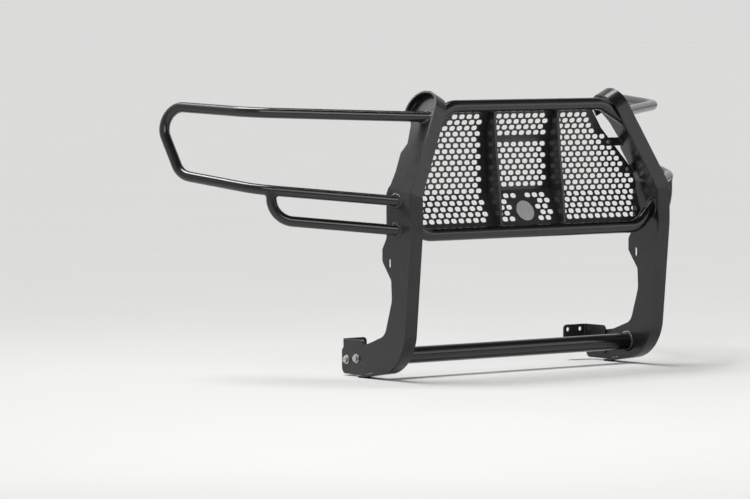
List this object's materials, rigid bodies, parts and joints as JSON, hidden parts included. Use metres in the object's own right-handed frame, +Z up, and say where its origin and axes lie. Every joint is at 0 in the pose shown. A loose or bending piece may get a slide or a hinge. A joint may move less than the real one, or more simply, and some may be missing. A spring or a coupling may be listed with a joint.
{
  "type": "front grille guard",
  "caption": "Black tubular front grille guard for a pickup: bent uprights, perforated grille panels, centre fins, cross tubes, headlight loops and fog-lamp braces.",
  "frame": {"origin": "midway between the two bolt patterns that fasten to the vehicle's frame, in the plane of the brackets' rear faces", "axes": "+X to the vehicle's left, +Y to the rear, towards the vehicle, +Z up"},
  "size_m": [1.8418, 0.7227, 0.8616],
  "materials": {
    "upright_coat": "satin-gloss black powder coat with a fine texture",
    "tube_coat": "satin-gloss black powder coat over bent round tube",
    "fin_coat": "satin-gloss black powder coat on thick plate",
    "mesh_coat": "satin black powder coat on perforated sheet",
    "bracket_coat": "satin black powder coat on bent plate",
    "badge_finish": "satin",
    "zinc_hardware": "dull zinc plating"
  },
  "bodies": {
    "root": {"face_strip_right": "upright_coat", "face_strip_left": "upright_coat", "side_plate_right": "upright_coat", "side_plate_left": "upright_coat", "headlight_loop_right": "tube_coat", "headlight_loop_left": "tube_coat", "fog_brace_right": "tube_coat", "fog_brace_left": "tube_coat", "centre_fin_right": "fin_coat", "centre_fin_left": "fin_coat", "mesh_panel_right": "mesh_coat", "mesh_panel_left": "mesh_coat", "mesh_tabs_right": "mesh_coat", "mesh_tabs_left": "mesh_coat", "frame_bracket_right": "bracket_coat", "frame_bracket_left": "bracket_coat", "mesh_panel_centre": "mesh_coat", "upper_cross_tube": "tube_coat", "lower_loop_tube": "tube_coat", "bottom_cross_tube": "tube_coat", "blank_badge": "badge_finish", "tab_bolts": "zinc_hardware", "tab_washers": "zinc_hardware", "tab_nuts": "zinc_hardware", "bracket_bolts": "zinc_hardware", "bracket_washers": "zinc_hardware", "bracket_nuts": "zinc_hardware"}
  },
  "joints": []
}
